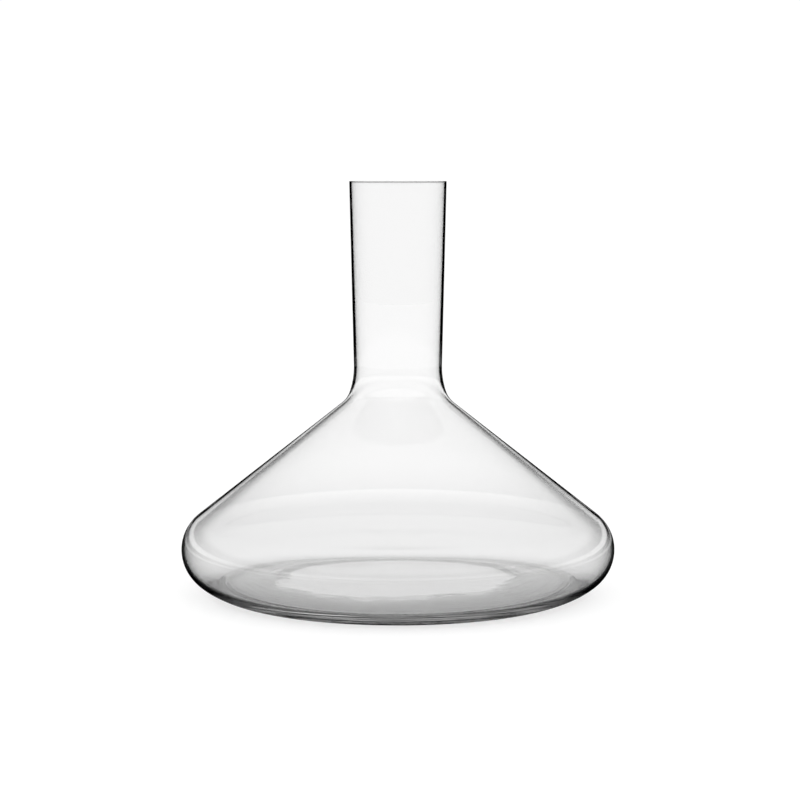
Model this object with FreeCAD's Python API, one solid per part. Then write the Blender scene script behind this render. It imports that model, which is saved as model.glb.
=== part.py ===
import FreeCAD, Part

import math
import os

# Wine decanter: one piece of blown glass with an open mouth and a broad, low bowl.
# Millimetres, +Z up. The origin is the centre of the foot, on the plane it stands on.
# Every surface is turned about the Z axis, so the whole shape is one radial section.
# The foot is a flat ring. Inside it the floor and the hollow under it rise up a low slope to a
# flat middle.

# Overall
HEIGHT = 210.7              # foot to rim
WIDEST_RADIUS = 111.1       # outside, at the widest circle of the bowl

# Neck: nearly straight, opening slightly towards the mouth
RIM_RADIUS = 24.7           # outside, at the mouth
NECK_FLARE = 0.0232         # growth of the outside radius per unit of height
RIM_WALL = 1.1              # glass thickness at the mouth
RIM_ROUND = 0.25            # fire-polished edges of the cut rim
FULL_WALL_HEIGHT = 120.0    # where the neck wall has grown to WALL

# Cone between the neck and the bowl, and the two-radius curve that joins it to the neck
CONE_ANGLE = 38.1           # degrees above horizontal
CURVE_LOWER_RADIUS = 13.1   # outside, next to the cone
CURVE_UPPER_RADIUS = 40.5   # outside, next to the neck
CURVE_UPPER_SWEEP = 19.6    # degrees turned by the upper radius
WALL = 1.4                  # glass thickness from the neck curve to the widest circle

# Bowl outside: three arcs run from the widest circle down to the standing ring
SHOULDER_RADIUS = 20.2      # from the cone down to the widest circle
HEEL_RADIUS = 20.7          # below the widest circle
HEEL_ANGLE = 52.9           # degrees below horizontal where the heel flattens
LOW_HEEL_RADIUS = 39.8      # from there down to the foot
FOOT_ANGLE = 75.0           # degrees below horizontal where the foot starts
FOOT_RADIUS = 3.0           # rounded outer and inner edges of the standing ring
FOOT_WIDTH = 1.5            # flat standing ring
PUNT_HEIGHT = 3.0           # top of the hollow under the base

# Bowl inside: the floor is thicker than the wall and meets it in a tight rounded crease
INNER_HEEL_RADIUS = 18.5    # from the widest circle down to the crease
CREASE_ANGLE = 85.6         # degrees below horizontal where the crease starts
CREASE_RADIUS = 1.5
FLOOR_HEIGHT = 8.1          # flat middle of the floor

# Slope and middle shared by the floor and the hollow under it
BASE_SLOPE = 6.3            # degrees above horizontal
MIDDLE_ROUND = 60.0         # radius of the curve that joins the slope to the flat middle


def point(r, z):
    return FreeCAD.Vector(r, 0, z)


def on_circle(centre, radius, degrees):
    angle = math.radians(degrees)
    return point(centre.x + radius * math.cos(angle), centre.z + radius * math.sin(angle))


def line(start, end):
    return Part.makeLine(start, end)


def arc(centre, radius, start, end):
    """Arc in the section plane; start and end are in degrees from +X towards +Z."""
    ends = [on_circle(centre, radius, a) for a in (start, (start + end) / 2, end)]
    return Part.Arc(*ends).toShape()


def widest_height():
    """Height of the widest circle: the drops of the three arcs below it, added up."""
    heel = math.sin(math.radians(HEEL_ANGLE))
    foot = math.sin(math.radians(FOOT_ANGLE))
    return HEEL_RADIUS * heel + LOW_HEEL_RADIUS * (foot - heel) + FOOT_RADIUS * (1 - foot)


def upper_side(rim_radius, flare, lower_radius, upper_radius, shoulder_radius, rim_depth):
    """One side of the wall, from just under the rim down to the widest circle."""
    shoulder_centre = point(WIDEST_RADIUS - SHOULDER_RADIUS, widest_height())
    cone_normal = 90 - CONE_ANGLE
    neck_normal = -math.degrees(math.atan(flare))
    join_normal = neck_normal + CURVE_UPPER_SWEEP
    cone_n = on_circle(point(0, 0), 1, cone_normal)
    neck_n = on_circle(point(0, 0), 1, neck_normal)
    join_n = on_circle(point(0, 0), 1, join_normal)

    # The lower centre lies at fixed distances from the cone line and the neck line
    cone_distance = cone_n.dot(shoulder_centre) + shoulder_radius + lower_radius
    step = upper_radius - lower_radius
    neck_distance = neck_n.dot(point(rim_radius, HEIGHT)) + upper_radius - step * neck_n.dot(join_n)
    determinant = cone_n.x * neck_n.z - cone_n.z * neck_n.x
    lower_centre = point(
        (cone_distance * neck_n.z - neck_distance * cone_n.z) / determinant,
        (neck_distance * cone_n.x - cone_distance * neck_n.x) / determinant,
    )
    upper_centre = lower_centre + join_n * step

    neck_top = point(rim_radius - flare * rim_depth, HEIGHT - rim_depth)
    neck_end = on_circle(upper_centre, upper_radius, neck_normal + 180)
    cone_top = on_circle(lower_centre, lower_radius, cone_normal + 180)
    cone_foot = on_circle(shoulder_centre, shoulder_radius, cone_normal)
    return [
        line(neck_top, neck_end),
        arc(upper_centre, upper_radius, neck_normal + 180, join_normal + 180),
        arc(lower_centre, lower_radius, join_normal + 180, cone_normal + 180),
        line(cone_top, cone_foot),
        arc(shoulder_centre, shoulder_radius, cone_normal, 0),
    ]


def outer_upper_side():
    return upper_side(RIM_RADIUS, NECK_FLARE, CURVE_LOWER_RADIUS, CURVE_UPPER_RADIUS,
                      SHOULDER_RADIUS, RIM_ROUND)


def inner_upper_side():
    # The neck wall thickens downwards from the rim, so its inside flares a little more
    flare = NECK_FLARE + (WALL - RIM_WALL) / (HEIGHT - FULL_WALL_HEIGHT)
    return upper_side(RIM_RADIUS - RIM_WALL, flare, CURVE_LOWER_RADIUS + WALL,
                      CURVE_UPPER_RADIUS + WALL, SHOULDER_RADIUS - WALL, RIM_ROUND)


def rim(outer_top, inner_top):
    """The flat cut mouth with both of its edges rounded off."""
    outer_flat = point(outer_top.x - RIM_ROUND, HEIGHT)
    inner_flat = point(inner_top.x + RIM_ROUND, HEIGHT)
    diagonal = RIM_ROUND * (1 - math.sqrt(0.5))
    outer_mid = point(outer_top.x - diagonal, HEIGHT - diagonal)
    inner_mid = point(inner_top.x + diagonal, HEIGHT - diagonal)
    return [
        Part.Arc(outer_top, outer_mid, outer_flat).toShape(),
        line(outer_flat, inner_flat),
        Part.Arc(inner_flat, inner_mid, inner_top).toShape(),
    ]


def outer_heel():
    """Three arcs from the widest circle to the plane the vessel stands on."""
    heel_centre = point(WIDEST_RADIUS - HEEL_RADIUS, widest_height())
    heel_end = on_circle(heel_centre, HEEL_RADIUS, -HEEL_ANGLE)
    low_centre = on_circle(heel_end, LOW_HEEL_RADIUS, 180 - HEEL_ANGLE)
    low_end = on_circle(low_centre, LOW_HEEL_RADIUS, -FOOT_ANGLE)
    foot_centre = on_circle(low_end, FOOT_RADIUS, 180 - FOOT_ANGLE)
    return [
        arc(heel_centre, HEEL_RADIUS, 0, -HEEL_ANGLE),
        arc(low_centre, LOW_HEEL_RADIUS, -HEEL_ANGLE, -FOOT_ANGLE),
        arc(foot_centre, FOOT_RADIUS, -FOOT_ANGLE, -90),
    ]


def base_curve(side_centre, side_radius, top, side_start):
    """Side arc from side_start degrees, the low slope, and the rounded edge of the flat middle."""
    slope_start = on_circle(side_centre, side_radius, -90 - BASE_SLOPE)
    turn = math.radians(BASE_SLOPE)
    slope_end_height = top - MIDDLE_ROUND * (1 - math.cos(turn))
    slope_run = (slope_end_height - slope_start.z) / math.tan(turn)
    slope_end = point(slope_start.x - slope_run, slope_end_height)
    middle_edge = point(slope_end.x - MIDDLE_ROUND * math.sin(turn), top)
    round_centre = point(middle_edge.x, top - MIDDLE_ROUND)
    return [
        arc(side_centre, side_radius, side_start, -90 - BASE_SLOPE),
        line(slope_start, slope_end),
        arc(round_centre, MIDDLE_ROUND, 90 - BASE_SLOPE, 90),
        line(middle_edge, point(0, top)),
    ]


def underside(foot_outer):
    """Flat standing ring, its rounded inner edge, and the shallow hollow with its flat top."""
    foot_inner = point(foot_outer.x - FOOT_WIDTH, 0)
    edge_centre = point(foot_inner.x, FOOT_RADIUS)
    ring = line(point(foot_outer.x, 0), foot_inner)
    return [ring] + base_curve(edge_centre, FOOT_RADIUS, PUNT_HEIGHT, -90)


def inner_base():
    """Inner heel, the crease that runs round the floor, and the floor itself."""
    heel_centre = point(WIDEST_RADIUS - WALL - INNER_HEEL_RADIUS, widest_height())
    heel_end = on_circle(heel_centre, INNER_HEEL_RADIUS, -CREASE_ANGLE)
    crease_centre = on_circle(heel_end, CREASE_RADIUS, 180 - CREASE_ANGLE)
    heel = arc(heel_centre, INNER_HEEL_RADIUS, 0, -CREASE_ANGLE)
    return [heel] + base_curve(crease_centre, CREASE_RADIUS, FLOOR_HEIGHT, -CREASE_ANGLE)


def glass_vessel():
    outer_upper = outer_upper_side()
    inner_upper = inner_upper_side()
    mouth = rim(outer_upper[0].firstVertex().Point, inner_upper[0].firstVertex().Point)
    heel = outer_heel()
    under = underside(heel[-1].valueAt(heel[-1].LastParameter))
    floor = inner_base()
    axis = line(point(0, PUNT_HEIGHT), point(0, FLOOR_HEIGHT))
    edges = mouth + outer_upper + heel + under + [axis] + floor + inner_upper
    wire = Part.Wire(Part.__sortEdges__(edges))
    section = Part.Face(wire)
    return section.revolve(FreeCAD.Vector(0, 0, 0), FreeCAD.Vector(0, 0, 1), 360)


os.makedirs("parts", exist_ok=True)
glass_vessel().exportStep("parts/glass_vessel.step")
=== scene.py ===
import math

import bmesh
import bpy
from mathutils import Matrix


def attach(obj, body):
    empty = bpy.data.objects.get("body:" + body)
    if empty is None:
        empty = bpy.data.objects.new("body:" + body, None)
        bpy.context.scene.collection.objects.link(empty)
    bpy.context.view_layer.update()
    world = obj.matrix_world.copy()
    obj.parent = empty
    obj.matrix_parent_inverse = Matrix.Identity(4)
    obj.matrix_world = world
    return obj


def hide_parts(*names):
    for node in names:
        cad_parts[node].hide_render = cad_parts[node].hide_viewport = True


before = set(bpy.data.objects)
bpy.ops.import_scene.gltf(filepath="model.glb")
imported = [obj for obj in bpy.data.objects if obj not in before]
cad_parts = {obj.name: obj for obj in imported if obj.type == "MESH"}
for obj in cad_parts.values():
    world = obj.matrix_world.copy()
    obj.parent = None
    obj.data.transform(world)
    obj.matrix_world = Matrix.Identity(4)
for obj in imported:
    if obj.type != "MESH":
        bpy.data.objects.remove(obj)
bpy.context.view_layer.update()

scene = bpy.context.scene

# The wine decanter is one blown piece of glass turned about the Z axis. Metres, +Z up, the foot
# stands on z = 0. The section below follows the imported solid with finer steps, because refraction
# shows every facet of a coarse mesh.

MM = 0.001

# The section's dimensions in millimetres and degrees
HEIGHT = 210.7
WIDEST_RADIUS = 111.1
RIM_RADIUS = 24.7
NECK_FLARE = 0.0232
RIM_WALL = 1.1
RIM_ROUND = 0.25
FULL_WALL_HEIGHT = 120.0
CONE_ANGLE = 38.1
CURVE_LOWER_RADIUS = 13.1
CURVE_UPPER_RADIUS = 40.5
CURVE_UPPER_SWEEP = 19.6
WALL = 1.4
SHOULDER_RADIUS = 20.2
HEEL_RADIUS = 20.7
HEEL_ANGLE = 52.9
LOW_HEEL_RADIUS = 39.8
FOOT_ANGLE = 75.0
FOOT_RADIUS = 3.0
FOOT_WIDTH = 1.5
PUNT_HEIGHT = 3.0
INNER_HEEL_RADIUS = 18.5
CREASE_ANGLE = 85.6
CREASE_RADIUS = 1.5
FLOOR_HEIGHT = 8.1
BASE_SLOPE = 6.3
MIDDLE_ROUND = 60.0

AROUND = 288                # columns of the turned mesh
ARC_STEP = 1.2              # degrees between points on a curve
LINE_STEP = 3.0             # millimetres between points on a straight
SAME_POINT = 1e-4           # millimetres; closer points are one point


# ---------------------------------------------------------------- section of the glass, in mm

def on_circle(centre, radius, degrees):
    angle = math.radians(degrees)
    return (centre[0] + radius * math.cos(angle), centre[1] + radius * math.sin(angle))


def arc(centre, radius, start, end, least=3):
    steps = max(least, round(abs(end - start) / ARC_STEP))
    return [on_circle(centre, radius, start + (end - start) * i / steps) for i in range(steps + 1)]


def straight(start, end):
    steps = max(1, round(math.dist(start, end) / LINE_STEP))
    return [tuple(a + (b - a) * i / steps for a, b in zip(start, end)) for i in range(steps + 1)]


def dot(a, b):
    return a[0] * b[0] + a[1] * b[1]


def widest_height():
    heel = math.sin(math.radians(HEEL_ANGLE))
    foot = math.sin(math.radians(FOOT_ANGLE))
    return HEEL_RADIUS * heel + LOW_HEEL_RADIUS * (foot - heel) + FOOT_RADIUS * (1 - foot)


def upper_side(rim_radius, flare, lower_radius, upper_radius, shoulder_radius):
    """From just under the rim down the neck, round the curve and along the cone to the widest circle."""
    shoulder = (WIDEST_RADIUS - SHOULDER_RADIUS, widest_height())
    cone_normal = 90 - CONE_ANGLE
    neck_normal = -math.degrees(math.atan(flare))
    join_normal = neck_normal + CURVE_UPPER_SWEEP
    cone_n, neck_n, join_n = (on_circle((0, 0), 1, a) for a in (cone_normal, neck_normal, join_normal))
    step = upper_radius - lower_radius
    cone_distance = dot(cone_n, shoulder) + shoulder_radius + lower_radius
    neck_distance = dot(neck_n, (rim_radius, HEIGHT)) + upper_radius - step * dot(neck_n, join_n)
    determinant = cone_n[0] * neck_n[1] - cone_n[1] * neck_n[0]
    lower = (
        (cone_distance * neck_n[1] - neck_distance * cone_n[1]) / determinant,
        (neck_distance * cone_n[0] - cone_distance * neck_n[0]) / determinant,
    )
    upper = (lower[0] + join_n[0] * step, lower[1] + join_n[1] * step)
    neck_top = (rim_radius - flare * RIM_ROUND, HEIGHT - RIM_ROUND)
    neck = straight(neck_top, on_circle(upper, upper_radius, neck_normal + 180))
    cone = straight(on_circle(lower, lower_radius, cone_normal + 180),
                    on_circle(shoulder, shoulder_radius, cone_normal))
    return (neck + arc(upper, upper_radius, neck_normal + 180, join_normal + 180)
            + arc(lower, lower_radius, join_normal + 180, cone_normal + 180)
            + cone + arc(shoulder, shoulder_radius, cone_normal, 0))


def base_curve(centre, radius, top, start):
    """A side arc from start degrees, a low slope up from it, and the rounded edge of a flat middle."""
    slope_start = on_circle(centre, radius, -90 - BASE_SLOPE)
    turn = math.radians(BASE_SLOPE)
    slope_end_height = top - MIDDLE_ROUND * (1 - math.cos(turn))
    slope_end = (slope_start[0] - (slope_end_height - slope_start[1]) / math.tan(turn), slope_end_height)
    middle = (slope_end[0] - MIDDLE_ROUND * math.sin(turn), top - MIDDLE_ROUND)
    return (arc(centre, radius, start, -90 - BASE_SLOPE)
            + straight(slope_start, slope_end)
            + arc(middle, MIDDLE_ROUND, 90 - BASE_SLOPE, 90, least=8)
            + straight((middle[0], top), (0, top)))


def outer_heel():
    heel = (WIDEST_RADIUS - HEEL_RADIUS, widest_height())
    low = on_circle(on_circle(heel, HEEL_RADIUS, -HEEL_ANGLE), LOW_HEEL_RADIUS, 180 - HEEL_ANGLE)
    foot = on_circle(on_circle(low, LOW_HEEL_RADIUS, -FOOT_ANGLE), FOOT_RADIUS, 180 - FOOT_ANGLE)
    return (arc(heel, HEEL_RADIUS, 0, -HEEL_ANGLE) + arc(low, LOW_HEEL_RADIUS, -HEEL_ANGLE, -FOOT_ANGLE)
            + arc(foot, FOOT_RADIUS, -FOOT_ANGLE, -90))


def inner_base():
    heel = (WIDEST_RADIUS - WALL - INNER_HEEL_RADIUS, widest_height())
    crease = on_circle(on_circle(heel, INNER_HEEL_RADIUS, -CREASE_ANGLE), CREASE_RADIUS, 180 - CREASE_ANGLE)
    return (arc(heel, INNER_HEEL_RADIUS, 0, -CREASE_ANGLE)
            + base_curve(crease, CREASE_RADIUS, FLOOR_HEIGHT, -CREASE_ANGLE))


def rim(outer_top, inner_top):
    low = HEIGHT - RIM_ROUND
    outer = arc((outer_top[0] - RIM_ROUND, low), RIM_ROUND, 90, 0)
    inner = arc((inner_top[0] + RIM_ROUND, low), RIM_ROUND, 180, 90)
    return inner + straight(inner[-1], outer[0]) + outer


def glass_section():
    """Points (r, z) from the middle of the floor, up the inside, over the rim and down the outside."""
    inner_flare = NECK_FLARE + (WALL - RIM_WALL) / (HEIGHT - FULL_WALL_HEIGHT)
    outer = upper_side(RIM_RADIUS, NECK_FLARE, CURVE_LOWER_RADIUS, CURVE_UPPER_RADIUS, SHOULDER_RADIUS)
    inner = upper_side(RIM_RADIUS - RIM_WALL, inner_flare, CURVE_LOWER_RADIUS + WALL,
                       CURVE_UPPER_RADIUS + WALL, SHOULDER_RADIUS - WALL)
    heel = outer_heel()
    foot_inner = (heel[-1][0] - FOOT_WIDTH, 0)
    under = base_curve((foot_inner[0], FOOT_RADIUS), FOOT_RADIUS, PUNT_HEIGHT, -90)
    points = inner_base()[::-1] + inner[::-1] + rim(outer[0], inner[0]) + outer + heel + under
    kept = [points[0]]
    for p in points[1:]:
        if math.dist(p, kept[-1]) > SAME_POINT:
            kept.append(p)
    return kept


def turned(name, section):
    """Closed mesh of a section turned about Z; its first and last points lie on the axis."""
    mesh = bpy.data.meshes.new(name)
    bm = bmesh.new()
    poles = [bm.verts.new((0, 0, section[i][1] * MM)) for i in (0, -1)]
    rings = []
    for r, z in section[1:-1]:
        ring = []
        for k in range(AROUND):
            angle = 2 * math.pi * k / AROUND
            ring.append(bm.verts.new((r * MM * math.cos(angle), r * MM * math.sin(angle), z * MM)))
        rings.append(ring)
    for k in range(AROUND):
        n = (k + 1) % AROUND
        bm.faces.new((poles[0], rings[0][k], rings[0][n]))
        bm.faces.new((poles[1], rings[-1][n], rings[-1][k]))
        for low, high in zip(rings, rings[1:]):
            bm.faces.new((low[k], high[k], high[n], low[n]))
    bmesh.ops.recalc_face_normals(bm, faces=bm.faces)
    for face in bm.faces:
        face.smooth = True
    bm.to_mesh(mesh)
    bm.free()
    piece = bpy.data.objects.new(name, mesh)
    scene.collection.objects.link(piece)
    return piece


# ---------------------------------------------------------------- node helpers

class Nodes:
    """Short calls for building a node tree; a value that is a socket is linked, any other is set."""

    def __init__(self, tree):
        self.tree = tree
        tree.nodes.clear()

    def put(self, socket, value):
        if isinstance(value, bpy.types.NodeSocket):
            self.tree.links.new(value, socket)
        else:
            socket.default_value = value

    def add(self, kind, inputs=None, **settings):
        made = self.tree.nodes.new(kind)
        for key, value in settings.items():
            setattr(made, key, value)
        for key, value in (inputs or {}).items():
            self.put(made.inputs[key], value)
        return made

    def math(self, operation, *values):
        made = self.tree.nodes.new("ShaderNodeMath")
        made.operation = operation
        for socket, value in zip(made.inputs, values):
            self.put(socket, value)
        return made.outputs[0]

    def ramp(self, value, low, high, to_low=0.0, to_high=1.0, smooth=True):
        """value carried from low..high to to_low..to_high, held at both ends."""
        made = self.add("ShaderNodeMapRange", {"Value": value, "From Min": low, "From Max": high,
                                               "To Min": to_low, "To Max": to_high},
                        interpolation_type="SMOOTHSTEP" if smooth else "LINEAR")
        return made.outputs["Result"]

    def mix(self, factor, a, b):
        made = self.add("ShaderNodeMix", {0: factor, 2: a, 3: b}, data_type="FLOAT")
        return made.outputs[0]


def material(name):
    made = bpy.data.materials.new(name)
    made.use_nodes = True
    return made, Nodes(made.node_tree)


# ---------------------------------------------------------------- materials

# Two values in brackets are the two ends of a gradual change. Lengths are in metres.
GLASS_IOR = 1.47
GLASS_TONE = 0.986          # base colour of the glass; 1 would be perfectly clear
BASE_PAINTED_SHADE = 0.66            # painted shade: base colour of the glass darkened on the slope of the base
RIM_PAINTED_SHADE = 0.68             # painted shade: base colour of the glass darkened at the cut mouth
RIM_BAND = (0.2096, 0.2099)
SLOPE_INNER = (0.060, 0.063)
SLOPE_OUTER = (0.088, 0.0895)
SLOPE_TOP = (0.0082, 0.0086)
RAGGED_SHIFT = (-0.009, 0.007)
RAGGED_SCALE = 45.0
STREAK_HEIGHT = 0.35
STREAKS_ALONG = 330.0       # noise cells per metre of radius
STREAKS_ROUND = 3.0
WAVE_SCALE = 14.0
WAVE_STRENGTH = 0.12
WAVE_DEPTH = 0.002
SCUFF_BAND = (0.00002, 0.0006)
SCUFF_SCALE = 900.0
SCUFF_ROUGHNESS = (0.1, 0.4)
SMEAR_SCALE = 22.0
SMEAR_ROUGHNESS = 0.012
SHADOW_TINT = (0.84, 0.84, 0.84, 1.0)

FLOOR_WHITE = 0.9
FLOOR_GLOW = 0.12
FLOOR_GRAIN_SCALE = 60.0
FLOOR_GRAIN_STRENGTH = 0.02
FLOOR_GRAIN_DEPTH = 0.001
UNDER_PAINTED_SHADOW = 0.75           # painted shadow: floor under the vessel, seen through the glass, darkened
UNDER_BAND = (0.07, 0.13)
NEARBY_PAINTED_SHADOW = 0.85          # painted shadow: floor near the vessel, seen through the glass, a little darker
NEARBY_BAND = (0.2, 0.6)
NEAR_FLOOR = 0.05           # painted reflection: floor inside the bright ring, mirrored in the nearest wall, painted dark
RING_START = (0.38, 0.48)
RING_END = (1.0, 1.15)
DEEP_FLOOR = 0.9            # painted reflection: floor mirrored deeper in the glass, a little dimmer

# Heights in the surroundings are sines of the angle above the horizon
BACKDROP = 1.03             # brightness of the white surroundings
DEEP_LIGHT = 1.05           # the same, mirrored deeper in the glass
TWICE_MIRRORED = 0.45       # share of that left after two reflections
BAND_START = (0.040, 0.052)
BAND_END = (0.12, 0.17)
ABOVE_BAND = 0.02
OUTER_BAND = 0.5            # brightness of the band mirrored off the outside
CEILING_START = (0.24, 0.4)
DIM_CEILING = 0.5


def place(n):
    """Object coordinates, their three parts and the distance from the Z axis."""
    where = n.add("ShaderNodeTexCoord").outputs["Object"]
    parts = n.add("ShaderNodeSeparateXYZ", {"Vector": where}).outputs
    squares = n.math("ADD", n.math("MULTIPLY", parts["X"], parts["X"]),
                     n.math("MULTIPLY", parts["Y"], parts["Y"]))
    return where, parts, n.math("SQRT", squares)


def base_slope(n, where, parts, away):
    """1 on the slope round the pool in the base, 0 elsewhere, with a ragged inner border."""
    edge = n.add("ShaderNodeTexNoise", {"Vector": where, "Scale": RAGGED_SCALE, "Detail": 4.0})
    shift = n.ramp(edge.outputs["Fac"], 0.3, 0.7, *RAGGED_SHIFT, smooth=False)
    inner = n.ramp(n.math("ADD", away, shift), *SLOPE_INNER)
    slope = n.math("MULTIPLY", inner, n.ramp(away, *SLOPE_OUTER, 1.0, 0.0))
    return n.math("MULTIPLY", slope, n.ramp(parts["Z"], *SLOPE_TOP, 1.0, 0.0))


def glass_bump(n, where, parts, away, slope):
    """Faint waves all over and fine streaks on the slope of the base."""
    around_x = n.math("MULTIPLY", n.math("DIVIDE", parts["X"], away), STREAKS_ROUND)
    around_y = n.math("MULTIPLY", n.math("DIVIDE", parts["Y"], away), STREAKS_ROUND)
    along = n.math("MULTIPLY", away, STREAKS_ALONG)
    spoke = n.add("ShaderNodeCombineXYZ", {"X": along, "Y": around_x, "Z": around_y})
    streaks = n.add("ShaderNodeTexNoise", {"Vector": spoke.outputs[0], "Scale": 1.0, "Detail": 2.0})
    waves = n.add("ShaderNodeTexNoise", {"Vector": where, "Scale": WAVE_SCALE, "Detail": 1.0,
                                         "Roughness": 0.4})
    on_slope = n.math("MULTIPLY", streaks.outputs["Fac"], slope)
    height = n.math("ADD", waves.outputs["Fac"], n.math("MULTIPLY", on_slope, STREAK_HEIGHT))
    return n.add("ShaderNodeBump", {"Height": height, "Strength": WAVE_STRENGTH,
                                    "Distance": WAVE_DEPTH}).outputs["Normal"]


def glass_roughness(n, where, parts):
    """Scuffs on the standing ring and faint smears elsewhere."""
    foot = n.ramp(parts["Z"], *SCUFF_BAND, 1.0, 0.0)
    grain = n.add("ShaderNodeTexNoise", {"Vector": where, "Scale": SCUFF_SCALE, "Detail": 2.0})
    scuffs = n.math("MULTIPLY", foot, n.ramp(grain.outputs["Fac"], 0.35, 0.7, *SCUFF_ROUGHNESS))
    smears = n.add("ShaderNodeTexNoise", {"Vector": where, "Scale": SMEAR_SCALE, "Detail": 3.0})
    polish = n.ramp(smears.outputs["Fac"], 0.55, 0.8, 0.0, SMEAR_ROUGHNESS)
    return n.math("ADD", polish, scuffs)


def clear_glass():
    """Clear blown glass with painted shade: its base colour is darker on the slope of the base and at the
    cut mouth.
    """
    made, n = material("clear_glass")
    where, parts, away = place(n)
    slope = base_slope(n, where, parts, away)
    # painted shade: a darker band at the mouth
    rim_painted_shade = n.ramp(parts["Z"], *RIM_BAND)
    # painted shade: the glass colour is darkened on the slope of the base and at the mouth
    clear = n.mix(rim_painted_shade, n.mix(slope, GLASS_TONE, BASE_PAINTED_SHADE), RIM_PAINTED_SHADE)
    tint = n.add("ShaderNodeCombineColor", {"Red": clear, "Green": clear, "Blue": clear})
    glass = n.add("ShaderNodeBsdfPrincipled", {
        "Base Color": tint.outputs[0], "Roughness": glass_roughness(n, where, parts), "IOR": GLASS_IOR,
        "Transmission Weight": 1.0, "Normal": glass_bump(n, where, parts, away, slope)})
    light = n.add("ShaderNodeLightPath").outputs
    passing = n.add("ShaderNodeBsdfTransparent", {"Color": SHADOW_TINT})
    both = n.add("ShaderNodeMixShader", {0: light["Is Shadow Ray"], 1: glass.outputs[0],
                                         2: passing.outputs[0]})
    n.add("ShaderNodeOutputMaterial", {"Surface": both.outputs[0]})
    return made


def ray_kinds(n):
    """Values that tell light paths apart. Each is 1 for: entered, gone through a surface; outside,
    mirrored off the outside of the glass; near, mirrored inside the nearest wall; deep, mirrored
    deeper in the glass. remains is the share of light left after a second reflection there."""
    light = n.add("ShaderNodeLightPath").outputs
    mirrored = n.math("GREATER_THAN", light["Glossy Depth"], 0.5)
    entered = n.math("GREATER_THAN", light["Transmission Depth"], 0.5)
    deep = n.math("MULTIPLY", mirrored, n.math("GREATER_THAN", light["Transmission Depth"], 2.5))
    near = n.math("SUBTRACT", n.math("MULTIPLY", mirrored, entered), deep)
    outside = n.math("SUBTRACT", n.math("SUBTRACT", mirrored, near), deep)
    twice = n.math("MULTIPLY", deep, n.math("GREATER_THAN", light["Glossy Depth"], 1.5))
    return {"entered": entered, "outside": outside, "near": near, "deep": deep,
            "remains": n.mix(twice, 1.0, TWICE_MIRRORED)}


def by_kind(n, kinds, plain, outside, near, deep):
    """One value chosen by the kind of light path."""
    deep_seen = n.math("MULTIPLY", kinds["remains"], deep)
    seen = n.mix(kinds["deep"], n.mix(kinds["outside"], plain, outside), deep_seen)
    return n.mix(kinds["near"], seen, near)


def pale_floor():
    """White table top. Seen through the glass it carries a painted shadow: darker under the vessel and a
    little dimmer near it.
    Mirrored off the outside it is painted black, and mirrored inside the nearest wall it is painted as a
    bright ring: painted reflections."""
    made, n = material("pale_floor")
    where, _, away = place(n)
    grain = n.add("ShaderNodeTexNoise", {"Vector": where, "Scale": FLOOR_GRAIN_SCALE, "Detail": 3.0})
    bump = n.add("ShaderNodeBump", {"Height": grain.outputs["Fac"], "Strength": FLOOR_GRAIN_STRENGTH,
                                    "Distance": FLOOR_GRAIN_DEPTH})
    kinds = ray_kinds(n)
    # painted reflection: mirrored inside the nearest wall, the floor is dark near the vessel, a bright ring
    # further out and dark beyond
    ring = n.math("MULTIPLY", n.ramp(away, *RING_START, NEAR_FLOOR, 1.0),
                  n.ramp(away, *RING_END, 1.0, 0.0))
    # painted shadow: the floor seen through the glass is darker under and near the vessel
    painted_shadow = n.math("MULTIPLY", n.ramp(away, *UNDER_BAND, UNDER_PAINTED_SHADOW, 1.0),
                    n.ramp(away, *NEARBY_BAND, NEARBY_PAINTED_SHADOW, 1.0))
    plain = n.mix(kinds["entered"], 1.0, painted_shadow)
    # painted reflection: mirrored off the outside of the glass, the floor is black
    seen = by_kind(n, kinds, plain, 0.0, ring, DEEP_FLOOR)
    shade = n.math("MULTIPLY", seen, FLOOR_WHITE)
    colour = n.add("ShaderNodeCombineColor", {"Red": shade, "Green": shade, "Blue": shade})
    surface = n.add("ShaderNodeBsdfPrincipled", {
        "Base Color": colour.outputs[0], "Roughness": 0.85, "Specular IOR Level": 0.0,
        "Emission Color": (1.0, 1.0, 1.0, 1.0), "Emission Strength": n.math("MULTIPLY", seen, FLOOR_GLOW),
        "Normal": bump.outputs["Normal"]})
    n.add("ShaderNodeOutputMaterial", {"Surface": surface.outputs[0]})
    return made


# ---------------------------------------------------------------- object

vessel = turned("blown_glass_vessel", glass_section())
vessel.data.materials.append(clear_glass())
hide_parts("glass_vessel")
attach(vessel, "root")

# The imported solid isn't shown, but it carries the same glass
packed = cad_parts["glass_vessel"]
packed.data.materials.clear()
packed.data.materials.append(vessel.data.materials[0])


# ---------------------------------------------------------------- stage, light and camera

FLOOR_RADIUS = 2.5
FLOOR_GAP = 0.00005         # keeps the floor from sharing a plane with the standing ring
LAMP_SIZE = 1.8
LAMP_POWER = 1.5
LAMP_HEIGHT = 2.0

# The camera is 1.12 m from the axis, level with the mouth and tilted 5.7 degrees down
CAMERA_DISTANCE = 1.1212
CAMERA_HEIGHT = 0.21084
CAMERA_ASIDE = 0.00105
CAMERA_PITCH = 5.69
SENSOR = 36.0
FOCAL_IN_FRAMES = 2.75      # focal length over the width of the frame


def add_floor():
    mesh = bpy.data.meshes.new("floor")
    bm = bmesh.new()
    bmesh.ops.create_circle(bm, cap_ends=True, segments=96, radius=FLOOR_RADIUS)
    bm.to_mesh(mesh)
    bm.free()
    floor = bpy.data.objects.new("floor", mesh)
    floor.location.z = -FLOOR_GAP
    floor.data.materials.append(pale_floor())
    scene.collection.objects.link(floor)


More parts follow.
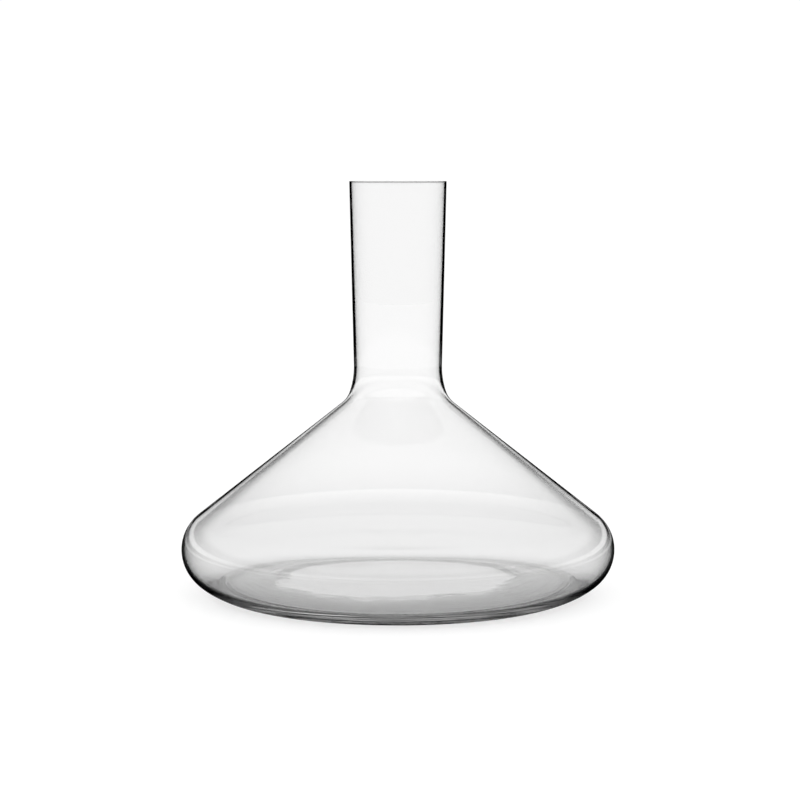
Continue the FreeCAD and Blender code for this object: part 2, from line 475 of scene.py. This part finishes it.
def surroundings():
    """White studio. Light mirrored off the outside of the glass or inside its nearest wall sees
    dark surroundings with a low bright band and a dim ceiling, which draws the edge lines."""
    world = bpy.data.worlds.new("studio")
    world.use_nodes = True
    scene.world = world
    n = Nodes(world.node_tree)
    toward = n.add("ShaderNodeTexCoord").outputs["Generated"]
    up = n.add("ShaderNodeSeparateXYZ", {"Vector": toward}).outputs["Z"]
    band = n.math("MULTIPLY", n.ramp(up, *BAND_START), n.ramp(up, *BAND_END, 1.0, ABOVE_BAND))
    ceiling = n.ramp(up, *CEILING_START, 0.0, DIM_CEILING)
    near_view = n.math("MAXIMUM", band, ceiling)
    outer_view = n.math("MAXIMUM", n.math("MULTIPLY", band, OUTER_BAND), ceiling)
    strength = by_kind(n, ray_kinds(n), BACKDROP, outer_view, near_view, DEEP_LIGHT)
    back = n.add("ShaderNodeBackground", {"Color": (1.0, 1.0, 1.0, 1.0), "Strength": strength})
    n.add("ShaderNodeOutputWorld", {"Surface": back.outputs[0]})


def add_lamp():
    """A weak overhead softbox. It shows neither in reflections nor through the glass."""
    data = bpy.data.lights.new("softbox", "AREA")
    data.shape = "DISK"
    data.size = LAMP_SIZE
    data.energy = LAMP_POWER
    lamp = bpy.data.objects.new("softbox", data)
    lamp.location = (0.0, 0.0, LAMP_HEIGHT)
    lamp.visible_glossy = False
    lamp.visible_transmission = False
    scene.collection.objects.link(lamp)


def add_camera():
    data = bpy.data.cameras.new("camera")
    data.sensor_width = SENSOR
    data.lens = SENSOR * FOCAL_IN_FRAMES
    camera = bpy.data.objects.new("camera", data)
    camera.location = (CAMERA_ASIDE, -CAMERA_DISTANCE, CAMERA_HEIGHT)
    camera.rotation_euler = (math.radians(90.0 - CAMERA_PITCH), 0.0, 0.0)
    scene.collection.objects.link(camera)
    scene.camera = camera


add_floor()
surroundings()
add_lamp()
add_camera()

scene.view_settings.view_transform = "Standard"
# Light crosses many glass surfaces, so paths are long and bright ones aren't clipped
scene.cycles.max_bounces = 32
scene.cycles.transmission_bounces = 32
scene.cycles.glossy_bounces = 16
scene.cycles.transparent_max_bounces = 16
scene.cycles.sample_clamp_indirect = 0.0
scene.cycles.caustics_reflective = True
scene.cycles.caustics_refractive = True
scene.cycles.blur_glossy = 0.0
